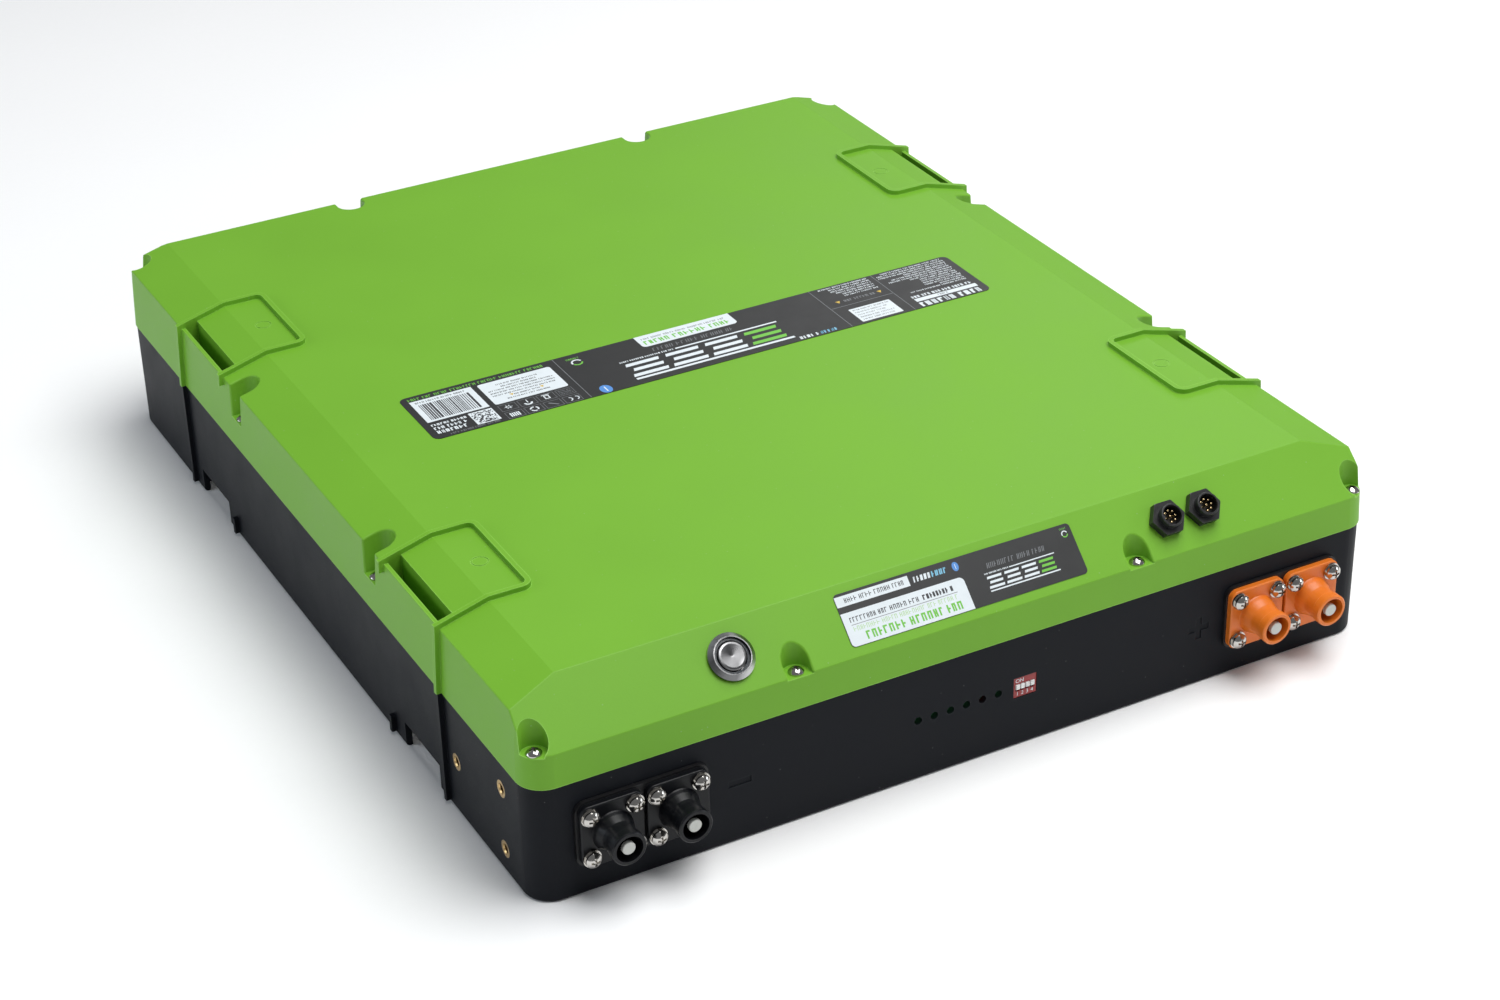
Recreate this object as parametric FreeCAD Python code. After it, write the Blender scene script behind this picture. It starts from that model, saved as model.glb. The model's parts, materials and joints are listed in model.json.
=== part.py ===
"""Deep cycle battery: a screwed two-part case with cells, electronics, terminals, button and switches.

Millimetres. +X is to the right as seen from the terminal face, +Y to the back, +Z up.
The origin is the centre of the underside.
"""
import FreeCAD, Part
import math
import os

V = FreeCAD.Vector
os.makedirs("parts", exist_ok=True)

# ---------------------------------------------------------------- driving dimensions
CASE_W = 430.0
CASE_D = 503.0
TOP_Z = 96.7
SEAM_Z = 58.1
CORNER_R = 12.8
BASE_INSET = 0.5
WALL = 3.2
FLOOR = 3.0
BOTTOM_FILLET = 1.8

LID_DRAFT = 1.5
SIDE_SHOULDER_Z = 90.1
SIDE_RIDGE_IN = 25.1
FRONT_SHOULDER_Z = 74.1
FRONT_RIDGE_IN = 24.4
BACK_CHAMFER = 1.2
EDGE_ROUND = 0.8

POCKET_R = 5.9
POCKET_TOP_R = 7.3
POCKET_FLOOR_Z = 73.2
POCKET_RIM = 1.0
MID_POCKET_X = 87.0
FRONT_POCKET_Y = -246.3
BACK_POCKET_Y = 245.0
SIDE_POCKET_X = 207.8
SIDE_SCREW_X = 210.4
SIDE_POCKET_Y = 85.0
CORNER_POCKET_X = 208.2
CORNER_POCKET_Y = 244.6
BOSS_R = 8.6

GUIDE_Y = 132.0
GUIDE_HALF = 31.8
GUIDE_INNER_X = 168.2
RIB_W = 2.5
RIB_H = 2.4
SLOT_X0 = 205.0
SLOT_X1 = 211.4
SLOT_WALL = 2.5
NOTCH_Y = 133.0
NOTCH_HALF = 19.5
NOTCH_H = 13.3
RIB_STUB_H = 10.5

GASKET_T = 0.8
GASKET_IN = 0.6
LID_INSERT_R = 2.8
LID_INSERT_LEN = 8.0

INSERT_R = 4.0
INSERT_BORE_R = 2.1
INSERT_LEN = 10.0
INSERT_SEAT = 0.4
DRILL_POINT = 1.2
SIDE_INSERTS = [(-173.6, 28.0), (-221.8, 43.8), (-221.8, 12.8)]

TERMINAL_X = [149.0, 179.8]
TERMINAL_Z = 31.4
FLANGE = 29.4
FLANGE_TALL = 30.6
FLANGE_T = 3.0
FLANGE_R = 4.2
SEAL_T = 1.8
BARREL_R = 7.5
BARREL_LIP_R = 7.9
BARREL_BASE_R = 9.5
BARREL_TIP = 20.2
BARREL_BORE_R = 6.2
BARREL_BORE_DEPTH = 14.0
PIN_R = 3.0
SCREW_PITCH = 20.8
STUD_R = 4.0

LED_X0 = -29.2
LED_PITCH = 8.27
LED_Z = 31.0
LED_HOLE_R = 1.95
FAULT_LED = 4
DIP_X = 26.2
DIP_Z = 30.8
DIP_W = 11.9
DIP_H = 10.3
DIP_PITCH = 2.54
DIP_TRAVEL = 1.0
DIP_SLOT_MID = -0.2

BUTTON_X = -114.1
BEZEL_R = 10.6
BUTTON_HOLE_R = 9.6
CAP_R = 6.4

SOCKET_X = [106.5, 126.1]
HEX_AF = 15.0
SOCKET_R = 5.4
SOCKET_BORE_R = 4.5

CELL_W = 174.0
CELL_L = 204.0
CELL_H = 71.5
CELL_GAP_X = 3.0
CELL_GAP_Y = 12.0
CELL_BACK_Y = 233.0
CELL_Z = 5.0
POST_OFFSET = 62.0

BOARD_TOP = 53.6
ARM_Z = 68.0
ARM_X = 96.0
DROP_Y = -194.0

# ---------------------------------------------------------------- derived places
HALF_W = CASE_W / 2
HALF_D = CASE_D / 2
DRAFT = LID_DRAFT / (SIDE_SHOULDER_Z - SEAM_Z)
SIDE_FALL = (TOP_Z - SIDE_SHOULDER_Z) / (SIDE_RIDGE_IN - LID_DRAFT)
FRONT_Y_SHOULDER = HALF_D - DRAFT * (FRONT_SHOULDER_Z - SEAM_Z)
FRONT_Y_RIDGE = HALF_D - FRONT_RIDGE_IN
FRONT_RISE = (TOP_Z - FRONT_SHOULDER_Z) / (FRONT_Y_SHOULDER - FRONT_Y_RIDGE)
SLOPE_ANGLE = math.degrees(math.atan(FRONT_RISE))
SLOPE_MID = V(0, -(FRONT_Y_SHOULDER + FRONT_Y_RIDGE) / 2, (TOP_Z + FRONT_SHOULDER_Z) / 2)
FRONT_Y = -(HALF_D - BASE_INSET)
FLANGE_Y = FRONT_Y - SEAL_T
POCKETS = []
SCREWS = []
for side in (-1, 1):
    ends = [(side * MID_POCKET_X, FRONT_POCKET_Y), (side * MID_POCKET_X, BACK_POCKET_Y)]
    ends += [(side * CORNER_POCKET_X, end * CORNER_POCKET_Y) for end in (-1, 1)]
    POCKETS += ends + [(side * SIDE_POCKET_X, end * SIDE_POCKET_Y) for end in (-1, 1)]
    SCREWS += ends + [(side * SIDE_SCREW_X, end * SIDE_POCKET_Y) for end in (-1, 1)]


# ---------------------------------------------------------------- shape helpers
def box(x0, x1, y0, y1, z0, z1):
    return Part.makeBox(x1 - x0, y1 - y0, z1 - z0, V(x0, y0, z0))


def cyl(r, h, at=V(0, 0, 0), axis=V(0, 0, 1)):
    return Part.makeCylinder(r, h, at, axis)


def ring(r_out, r_in, h, at=V(0, 0, 0)):
    return cyl(r_out, h, at).cut(cyl(r_in, h, at))


def round_rect(half_x, half_y, r, z, cx=0.0, cy=0.0):
    """A closed rounded rectangle at height z."""
    edges = []
    corners = [(1, 1, 0), (-1, 1, 90), (-1, -1, 180), (1, -1, 270)]
    points = []
    for sx, sy, start in corners:
        centre = V(cx + sx * (half_x - r), cy + sy * (half_y - r), z)
        arc = []
        for angle in (start, start + 45, start + 90):
            a = math.radians(angle)
            arc.append(centre + V(r * math.cos(a), r * math.sin(a), 0))
        points.append(arc)
    for i, arc in enumerate(points):
        edges.append(Part.Arc(arc[0], arc[1], arc[2]).toShape())
        edges.append(Part.makeLine(arc[2], points[(i + 1) % 4][0]))
    return Part.Wire(edges)


def round_prism(half_x, half_y, r, z0, z1, cx=0.0, cy=0.0):
    face = Part.Face(round_rect(half_x, half_y, r, z0, cx, cy))
    return face.extrude(V(0, 0, z1 - z0))


def hexagon(across_flats, h, z=0.0):
    """A hexagonal prism with corners on the X axis."""
    r = across_flats / math.sqrt(3)
    points = []
    for i in range(7):
        a = math.radians(60 * i)
        points.append(V(r * math.cos(a), r * math.sin(a), z))
    return Part.Face(Part.makePolygon(points)).extrude(V(0, 0, h))


def revolved(points):
    """A solid of revolution about Z from (radius, height) points."""
    outline = [V(r, 0, z) for r, z in points]
    face = Part.Face(Part.makePolygon(outline + outline[:1]))
    return face.revolve(V(0, 0, 0), V(0, 0, 1), 360)


def fuse(shapes):
    first, rest = shapes[0], shapes[1:]
    return first.fuse(rest).removeSplitter() if rest else first


def on_front(shape, x, z, y=FRONT_Y):
    """Turns +Z to face forward and puts the local origin on the front wall."""
    placed = shape.copy()
    placed.rotate(V(0, 0, 0), V(1, 0, 0), 90)
    placed.translate(V(x, y, z))
    return placed


def on_slope(shape, x):
    """Turns +Z to the front slope's normal and puts the local origin at mid slope."""
    placed = shape.copy()
    placed.rotate(V(0, 0, 0), V(1, 0, 0), SLOPE_ANGLE)
    placed.translate(V(x, SLOPE_MID.y, SLOPE_MID.z))
    return placed


def phillips(size, depth):
    """A cross-shaped recess cutter, centred, cutting down from z = 0."""
    arm = size * 0.24
    bars = [box(-size, size, -arm, arm, -depth, 1), box(-arm, arm, -size, size, -depth, 1)]
    return fuse(bars)


def pan_screw(head_r, head_h, shank_r, shank_len):
    """A domed pan-head screw, underside of the head at z = 0, shank down."""
    sphere_r = (head_r ** 2 + head_h ** 2) / (2 * head_h) * 1.15
    dome = Part.makeSphere(sphere_r, V(0, 0, head_h - sphere_r))
    head = cyl(head_r, head_h).common(dome)
    head = head.cut(phillips(head_r * 0.55, head_h * 0.55).translated(V(0, 0, head_h)))
    return fuse([head, cyl(shank_r, shank_len, V(0, 0, -shank_len))])


def save(name, shapes):
    shape = shapes if isinstance(shapes, Part.Shape) else Part.makeCompound(shapes)
    if not shape.isValid():
        print("invalid shape:", name)
    shape.exportStep("parts/%s.step" % name)
    print("%-34s solids %2d  volume %10.1f" % (name, len(shape.Solids), shape.Volume))


# ---------------------------------------------------------------- case
def lid_envelope(t, z_low=SEAM_Z):
    """The lid's outer form, moved inward by t."""
    wires = []
    for z in (z_low, TOP_Z + 4):
        shrink = t + DRAFT * (z - SEAM_Z)
        wires.append(round_rect(HALF_W - shrink, HALF_D - shrink, CORNER_R - shrink, z))
    block = Part.makeLoft(wires, True, True)
    reach = HALF_W + 20
    low, top = z_low - 1, TOP_Z - t
    drop = t * math.hypot(1, SIDE_FALL)
    ridge = HALF_W - SIDE_RIDGE_IN - (drop - t) / SIDE_FALL
    edge_z = top - (reach - ridge) * SIDE_FALL
    side = [(-reach, low), (reach, low), (reach, edge_z), (ridge, top), (-ridge, top), (-reach, edge_z)]
    side_face = Part.Face(Part.makePolygon([V(x, -300, z) for x, z in side + side[:1]]))
    reach = HALF_D + 20
    drop = t * math.hypot(1, FRONT_RISE)
    front = FRONT_Y_RIDGE - (drop - t) / FRONT_RISE
    nose_z = top - (reach - front) * FRONT_RISE
    back = HALF_D - t - DRAFT * (TOP_Z - SEAM_Z) - BACK_CHAMFER
    outline = [(-reach, low), (reach, low), (reach, top - (reach - back)), (back, top), (-front, top)]
    if nose_z > low:
        outline.append((-reach, nose_z))
    else:
        outline[0] = (-(front + (top - low) / FRONT_RISE), low)
    end_face = Part.Face(Part.makePolygon([V(-300, y, z) for y, z in outline + outline[:1]]))
    return block.common(side_face.extrude(V(0, 600, 0))).common(end_face.extrude(V(600, 0, 0)))


def soften(solid, radius, keep):
    """Rounds the edges that keep() picks, or leaves the solid as it is."""
    edges = [e for e in solid.Edges if keep(e)]
    try:
        softened = solid.makeFillet(radius, edges)
        if softened.isValid() and softened.Volume > 0:
            return softened
    except Part.OCCError:
        pass
    print("edges left sharp:", len(edges))
    return solid


def pocket_cutter(x, y):
    """A flared scallop with a flat floor that is open towards the nearest outer wall."""
    reach = 60
    rise = TOP_Z - POCKET_FLOOR_Z
    far_r = POCKET_R + (POCKET_TOP_R - POCKET_R) * reach / rise
    cuts = [Part.makeCone(POCKET_R, far_r, reach, V(x, y, POCKET_FLOOR_Z))]
    open_x = abs(x) > MID_POCKET_X
    open_y = abs(y) > SIDE_POCKET_Y
    if open_x != open_y:
        section = [(-POCKET_R, 0), (POCKET_R, 0), (far_r, reach), (-far_r, reach)]
        points = [V(p, 0, POCKET_FLOOR_Z + q) for p, q in section + section[:1]]
        run = Part.Face(Part.makePolygon(points)).extrude(V(0, HALF_D, 0))
        turn = math.degrees(math.atan2(-x, 0)) if open_x else math.degrees(math.atan2(0, y))
        run.rotate(V(0, 0, 0), V(0, 0, 1), turn)
        cuts.append(run.translated(V(x, y, 0)))
    return fuse(cuts)


def guide_rib(sx, sy):
    """A raised U of rib around one strap guide, open towards the side of the case."""
    far = HALF_W + 10
    centre_x = (GUIDE_INNER_X + far) / 2
    outer = round_prism((far - GUIDE_INNER_X) / 2, GUIDE_HALF, 5.5, SEAM_Z, 120, centre_x)
    half_in = GUIDE_HALF - RIB_W
    inner = round_prism((far - GUIDE_INNER_X) / 2, half_in, 3.2, SEAM_Z, 120, centre_x + RIB_W)
    ribs = outer.cut(inner).cut(box(far - 4, far + 9, -40, 40, SEAM_Z, 120))
    ribs = ribs.translated(V(0, sy * GUIDE_Y, 0))
    if sx < 0:
        ribs = ribs.mirror(V(0, 0, 0), V(1, 0, 0))
    inner_leg_y = sy * (GUIDE_Y - GUIDE_HALF + RIB_W / 2)
    leg_x0, leg_x1 = sorted((sx * (HALF_W - 6), sx * (HALF_W + 12)))
    leg = box(leg_x0, leg_x1, inner_leg_y - 3, inner_leg_y + 3, SEAM_Z - 1, SIDE_SHOULDER_Z - 4)
    return ribs.common(lid_envelope(-RIB_H)).cut([leg, lid_envelope(WALL / 2, SEAM_Z - 1)])


def slot_prism(sx, sy, grow, z0, z1):
    x0, x1 = sorted((sx * (SLOT_X0 - grow), sx * (SLOT_X1 + grow)))
    half = GUIDE_HALF - RIB_W + grow
    return box(x0, x1, sy * GUIDE_Y - half, sy * GUIDE_Y + half, z0, z1)


def all_guides():
    return [(sx, sy) for sx in (-1, 1) for sy in (-1, 1)]


def on_rim(edge, x, y):
    """True for the edges where a scallop's flank meets the lid's outer faces."""
    box_of = edge.BoundBox
    if max(abs(box_of.Center.x - x), abs(box_of.Center.y - y)) > 14 or box_of.ZMin < POCKET_FLOOR_Z + 0.05:
        return False
    first, last = edge.ParameterRange
    for t in (0.1, 0.5, 0.9):
        p = edge.valueAt(first + t * (last - first))
        radius = POCKET_R + (POCKET_TOP_R - POCKET_R) * (p.z - POCKET_FLOOR_Z) / (TOP_Z - POCKET_FLOOR_Z)
        reaches = [math.hypot(p.x - x, p.y - y), abs(p.x - x), abs(p.y - y)]
        if min(abs(r - radius) for r in reaches) > 0.03:
            return False
    return True


def lid_cover():
    outer = lid_envelope(0)
    outer = soften(outer, EDGE_ROUND, lambda e: e.BoundBox.ZMin > SEAM_Z + 14)
    outer = outer.cut([pocket_cutter(x, y) for x, y in POCKETS])
    for x, y in POCKETS:
        if abs(x) < CORNER_POCKET_X:
            outer = soften(outer, POCKET_RIM, lambda e: on_rim(e, x, y))
    shell = outer.cut(lid_envelope(WALL, SEAM_Z - 1))
    backing = [cyl(BOSS_R, TOP_Z, V(x, y, SEAM_Z)) for x, y in POCKETS]
    backing += [slot_prism(sx, sy, SLOT_WALL, SEAM_Z, TOP_Z + 9) for sx, sy in all_guides()]
    shell = shell.fuse([b.common(outer) for b in backing])
    shell = shell.fuse([guide_rib(sx, sy) for sx, sy in all_guides()])
    cuts = [slot_prism(sx, sy, 0, SEAM_Z - 5, 120) for sx, sy in all_guides()]
    for sx, sy in all_guides():
        x0, x1 = sorted((sx * SLOT_X0, sx * (HALF_W + 9)))
        half = GUIDE_HALF - RIB_W
        cuts.append(box(x0, x1, sy * GUIDE_Y - half, sy * GUIDE_Y + half, SIDE_SHOULDER_Z, 120))
        mark = V(sx * 180, sy * GUIDE_Y, TOP_Z - 0.3)
        cuts.append(ring(4.0, 3.5, 2, mark))
    cuts += [cyl(2.25, 40, V(x, y, SEAM_Z - 5)) for x, y in SCREWS]
    cuts.append(on_slope(cyl(BUTTON_HOLE_R, 30, V(0, 0, -15)), BUTTON_X))
    for x in SOCKET_X:
        cuts.append(on_slope(cyl(SOCKET_R, 30, V(0, 0, -15)), x))
    return shell.cut(cuts)


def base_body():
    """The tray before the gasket seat is cut: shell, bosses, strap slots and openings."""
    half_w, half_d = HALF_W - BASE_INSET, HALF_D - BASE_INSET
    outer = round_prism(half_w, half_d, CORNER_R, 0, SEAM_Z)
    outer = soften(outer, BOTTOM_FILLET, lambda e: e.BoundBox.ZMax < 0.01)
    inner = round_prism(half_w - WALL, half_d - WALL, CORNER_R - WALL, FLOOR, SEAM_Z + 5)
    shell = outer.cut(inner)
    backing = [cyl(BOSS_R - 1, SEAM_Z, V(x, y, 0)) for x, y in SCREWS]
    backing += [slot_prism(sx, sy, SLOT_WALL, 0, SEAM_Z) for sx, sy in all_guides()]
    for sx in (-1, 1):
        for y, z in SIDE_INSERTS:
            start = V(sx * half_w, y, z)
            backing.append(cyl(INSERT_R + 2.2, INSERT_LEN + 3.4, start, V(-sx, 0, 0)))
    shell = shell.fuse([b.common(outer) for b in backing])
    for sx, sy in all_guides():
        x0, x1 = sorted((sx * (half_w - 1), sx * (half_w + RIB_H)))
        y_far = sy * (GUIDE_Y + GUIDE_HALF - RIB_W / 2)
        y_near = sy * (GUIDE_Y - GUIDE_HALF + RIB_W / 2)
        shell = shell.fuse(box(x0, x1, y_far - RIB_W / 2, y_far + RIB_W / 2, 2.0, SEAM_Z))
        shell = shell.fuse(box(x0, x1, y_near - RIB_W / 2, y_near + RIB_W / 2, 2.0, RIB_STUB_H))
    cuts = [slot_prism(sx, sy, 0, -1, SEAM_Z + 1) for sx, sy in all_guides()]
    for sx, sy in all_guides():
        x0, x1 = sorted((sx * SLOT_X0, sx * (HALF_W + 9)))
        cuts.append(box(x0, x1, sy * NOTCH_Y - NOTCH_HALF, sy * NOTCH_Y + NOTCH_HALF, -1, NOTCH_H))
    for x, y in SCREWS:
        cuts.append(cyl(LID_INSERT_R, LID_INSERT_LEN, V(x, y, SEAM_Z - GASKET_T - LID_INSERT_LEN)))
        cuts.append(cyl(2.25, 20, V(x, y, SEAM_Z - 19)))
    for sx in (-1, 1):
        for y, z in SIDE_INSERTS:
            depth = INSERT_LEN + INSERT_SEAT
            cuts.append(cyl(INSERT_R, depth, V(sx * half_w, y, z), V(-sx, 0, 0)))
            floor = V(sx * (half_w - depth), y, z)
            cuts.append(Part.makeCone(INSERT_R, 0.5, DRILL_POINT, floor, V(-sx, 0, 0)))
    for i in range(6):
        cuts.append(on_front(cyl(LED_HOLE_R, 20, V(0, 0, -10)), LED_X0 + i * LED_PITCH, LED_Z))
    reach = 0.15
    window = box(-DIP_W / 2 - reach, DIP_W / 2 + reach, -DIP_H / 2 - reach, DIP_H / 2 + reach, -9, 9)
    cuts.append(on_front(window, DIP_X, DIP_Z))
    for side in (-1, 1):
        for x in TERMINAL_X:
            cuts.append(on_front(cyl(8.0, 20, V(0, 0, -10)), side * x, TERMINAL_Z))
            for dx, dz in screw_offsets():
                cuts.append(on_front(cyl(2.0, 20, V(dx, dz, -10)), side * x, TERMINAL_Z))
    cuts += polarity_marks()
    return shell.cut(cuts)


def polarity_marks():
    """Shallow engraved plus and minus signs."""
    half, arm, depth = 5.6, 1.6, 0.5
    flat = box(-half, half, -arm, arm, -depth, 2)
    upright = box(-arm, arm, -half, half, -depth, 2)
    plus = on_front(fuse([flat, upright]), 120.0, LED_Z - 0.8)
    minus = on_front(flat, -117.5, LED_Z - 0.6)
    return [plus, minus]


def gasket_blank():
    half_w, half_d = HALF_W - BASE_INSET - GASKET_IN, HALF_D - BASE_INSET - GASKET_IN
    return round_prism(half_w, half_d, CORNER_R - GASKET_IN, SEAM_Z - GASKET_T, SEAM_Z)


def base_tray():
    return base_body().cut(gasket_blank())


def lid_gasket():
    """A flat gasket on the tray's rim, round the screws and the strap slots."""
    return base_body().common(gasket_blank())


def case_fasteners():
    screw = pan_screw(3.5, 2.5, 2.0, 22.0)
    insert = ring(LID_INSERT_R, 2.0, LID_INSERT_LEN)
    screws = [screw.translated(V(x, y, POCKET_FLOOR_Z)) for x, y in SCREWS]
    inserts = [insert.translated(V(x, y, SEAM_Z - GASKET_T - LID_INSERT_LEN)) for x, y in SCREWS]
    mounts = []
    for sx in (-1, 1):
        for y, z in SIDE_INSERTS:
            start = V(sx * (HALF_W - BASE_INSET), y, z)
            body = cyl(INSERT_R, INSERT_LEN, start, V(-sx, 0, 0))
            body = body.cut(cyl(INSERT_BORE_R, INSERT_LEN, start, V(-sx, 0, 0)))
            lead = Part.makeCone(INSERT_BORE_R + 0.6, INSERT_BORE_R, 0.6, start, V(-sx, 0, 0))
            mounts.append(body.cut(lead))
    save("lid_screws", screws)
    save("lid_screw_inserts", inserts)
    save("side_mount_inserts", mounts)


# ---------------------------------------------------------------- terminals
def screw_offsets():
    half = SCREW_PITCH / 2
    return [(dx, dz) for dx in (-half, half) for dz in (-half, half)]


def terminal_seal(side):
    """The sealing plate shared by one pair of terminals."""
    middle = side * sum(TERMINAL_X) / 2
    half_x = (TERMINAL_X[1] - TERMINAL_X[0] + FLANGE) / 2 + 1.1
    plate = round_prism(half_x, FLANGE_TALL / 2 + 0.9, FLANGE_R + 1, 0, SEAL_T)
    holes = []
    for x in TERMINAL_X:
        local = side * x - middle
        holes.append(cyl(8.0, SEAL_T, V(local, 0, 0)))
        holes += [cyl(2.3, SEAL_T, V(local + dx, dz, 0)) for dx, dz in screw_offsets()]
    return on_front(plate.cut(holes), middle, TERMINAL_Z)


def terminal_housing():
    """Square flange, flared barrel with a socket, and a rear spigot through the wall."""
    flange = round_prism(FLANGE / 2, FLANGE_TALL / 2, FLANGE_R, 0, FLANGE_T)
    flange = soften(flange, 0.7, lambda e: e.BoundBox.ZMin > FLANGE_T - 0.01)
    tip = BARREL_TIP - SEAL_T
    barrel = revolved([
        (0, 1.0), (BARREL_BASE_R + 0.2, 1.0), (BARREL_BASE_R + 0.2, FLANGE_T),
        (BARREL_BASE_R - 0.1, FLANGE_T + 0.6), (BARREL_BASE_R - 0.5, FLANGE_T + 2.2),
        (BARREL_R + 0.2, FLANGE_T + 5.6), (BARREL_R, FLANGE_T + 7.4),
        (BARREL_R, tip - 4.4), (BARREL_LIP_R, tip - 4.0),
        (BARREL_LIP_R, tip - 0.5), (BARREL_LIP_R - 0.5, tip), (0, tip)])
    spigot = cyl(7.8, WALL + SEAL_T + 4.0, V(0, 0, -WALL - SEAL_T - 4.0))
    body = fuse([flange, barrel, spigot])
    cuts = [cyl(BARREL_BORE_R, 40, V(0, 0, tip - BARREL_BORE_DEPTH))]
    cuts.append(cyl(STUD_R, 60, V(0, 0, -40)))
    cuts += [cyl(2.3, 20, V(dx, dz, -5)) for dx, dz in screw_offsets()]
    moulding_dot = V(4.6, -11.2, FLANGE_T - 0.3)
    cuts.append(ring(1.9, 1.3, 2, moulding_dot))
    return body.cut(cuts)


def terminals():
    tip = BARREL_TIP - SEAL_T
    housing = terminal_housing()
    bottom = tip - BARREL_BORE_DEPTH
    pin = fuse([
        cyl(PIN_R, BARREL_BORE_DEPTH - 2.6, V(0, 0, bottom)),
        cyl(PIN_R + 1.6, 1.2, V(0, 0, bottom)),
        cyl(STUD_R, bottom + 26.0, V(0, 0, -26.0))])
    cap = cyl(PIN_R, 2.0, V(0, 0, tip - 2.6))
    cap = soften(cap, 0.4, lambda e: e.BoundBox.ZMin > tip - 0.7)
    screw = pan_screw(3.7, 2.6, 1.95, 11.0)
    split = ring(3.55, 2.2, 1.0).cut(box(0, 5, -0.35, 0.35, -1, 3))
    flat = ring(4.2, 2.2, 0.8)
    nut = hexagon(13.0, 6.5).cut(cyl(STUD_R, 6.5))
    pins, caps, nuts = [], [], []
    screws, splits, flats = [], [], []
    for side, colour in ((1, "positive"), (-1, "negative")):
        save("%s_terminal_gasket" % colour, terminal_seal(side))
        for x, place in zip(TERMINAL_X, ("inner", "outer")):
            spot = side * x
            name = "%s_terminal_housing_%s" % (colour, place)
            save(name, on_front(housing, spot, TERMINAL_Z, FLANGE_Y))
            pins.append(on_front(pin, spot, TERMINAL_Z, FLANGE_Y))
            caps.append(on_front(cap, spot, TERMINAL_Z, FLANGE_Y))
            nuts.append(on_front(nut, spot, TERMINAL_Z, FLANGE_Y + 14.5 + 6.5))
            for dx, dz in screw_offsets():
                where = (spot + dx, TERMINAL_Z + dz)
                flats.append(on_front(flat, *where, FLANGE_Y - FLANGE_T))
                splits.append(on_front(split, *where, FLANGE_Y - FLANGE_T - 0.8))
                screws.append(on_front(screw, *where, FLANGE_Y - FLANGE_T - 1.8))
    save("terminal_pins", pins)
    save("terminal_pin_caps", caps)
    save("terminal_stud_nuts", nuts)
    save("terminal_screws", screws)
    save("terminal_split_washers", splits)
    save("terminal_flat_washers", flats)


# ---------------------------------------------------------------- power button
def power_button():
    """A sealed metal push button on the front slope; local z = 0 is the lid's surface."""
    body = revolved([
        (BUTTON_HOLE_R - 0.1, -18), (BUTTON_HOLE_R - 0.1, 0.6), (BEZEL_R, 0.6), (BEZEL_R, 1.5),
        (8.6, 3.3), (8.1, 3.3), (7.9, 2.6), (7.9, -1.0), (6.8, -1.0), (6.8, -9.0), (4.0, -9.0),
        (4.0, -18)])
    light_ring = ring(7.85, 6.85, 2.9, V(0, 0, -0.95))
    cap = revolved([
        (0, -5.5), (CAP_R, -5.5), (CAP_R, 2.5), (CAP_R - 0.4, 2.9), (CAP_R - 1.2, 3.0), (0, 2.7)])
    stem = cyl(1.6, 5.0, V(0, 0, -10.5))
    seal = ring(BEZEL_R - 0.6, BUTTON_HOLE_R + 0.05, 0.6)
    nut = hexagon(22.0, 3.0, -WALL - 3.2).cut(cyl(BUTTON_HOLE_R, 10, V(0, 0, -WALL - 5)))
    spring = spring_coil(3.2, 0.8, 0.5, -8.9, -5.6, 2)
    save("power_button_body", on_slope(body, BUTTON_X))
    save("power_button_light_ring", on_slope(light_ring, BUTTON_X))
    save("power_button_cap", on_slope(fuse([cap, stem]), BUTTON_X))
    save("power_button_seal", on_slope(seal, BUTTON_X))
    save("power_button_nut", on_slope(nut, BUTTON_X))
    save("power_button_spring", on_slope(spring, BUTTON_X))


def spring_coil(radius, wide, thick, z0, z1, turns):
    """A flat wire coil whose ends stay inside z0 to z1."""
    rise = z1 - z0 - 2 * thick
    path = Part.makeHelix(rise / turns, rise, radius)
    corners = [(-wide, -thick), (wide, -thick), (wide, thick), (-wide, thick), (-wide, -thick)]
    section = Part.makePolygon([V(radius + p / 2, 0, q / 2) for p, q in corners])
    coil = Part.Wire(path.Edges).makePipeShell([section], True, True)
    return coil.translated(V(0, 0, z0 + thick))


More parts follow.
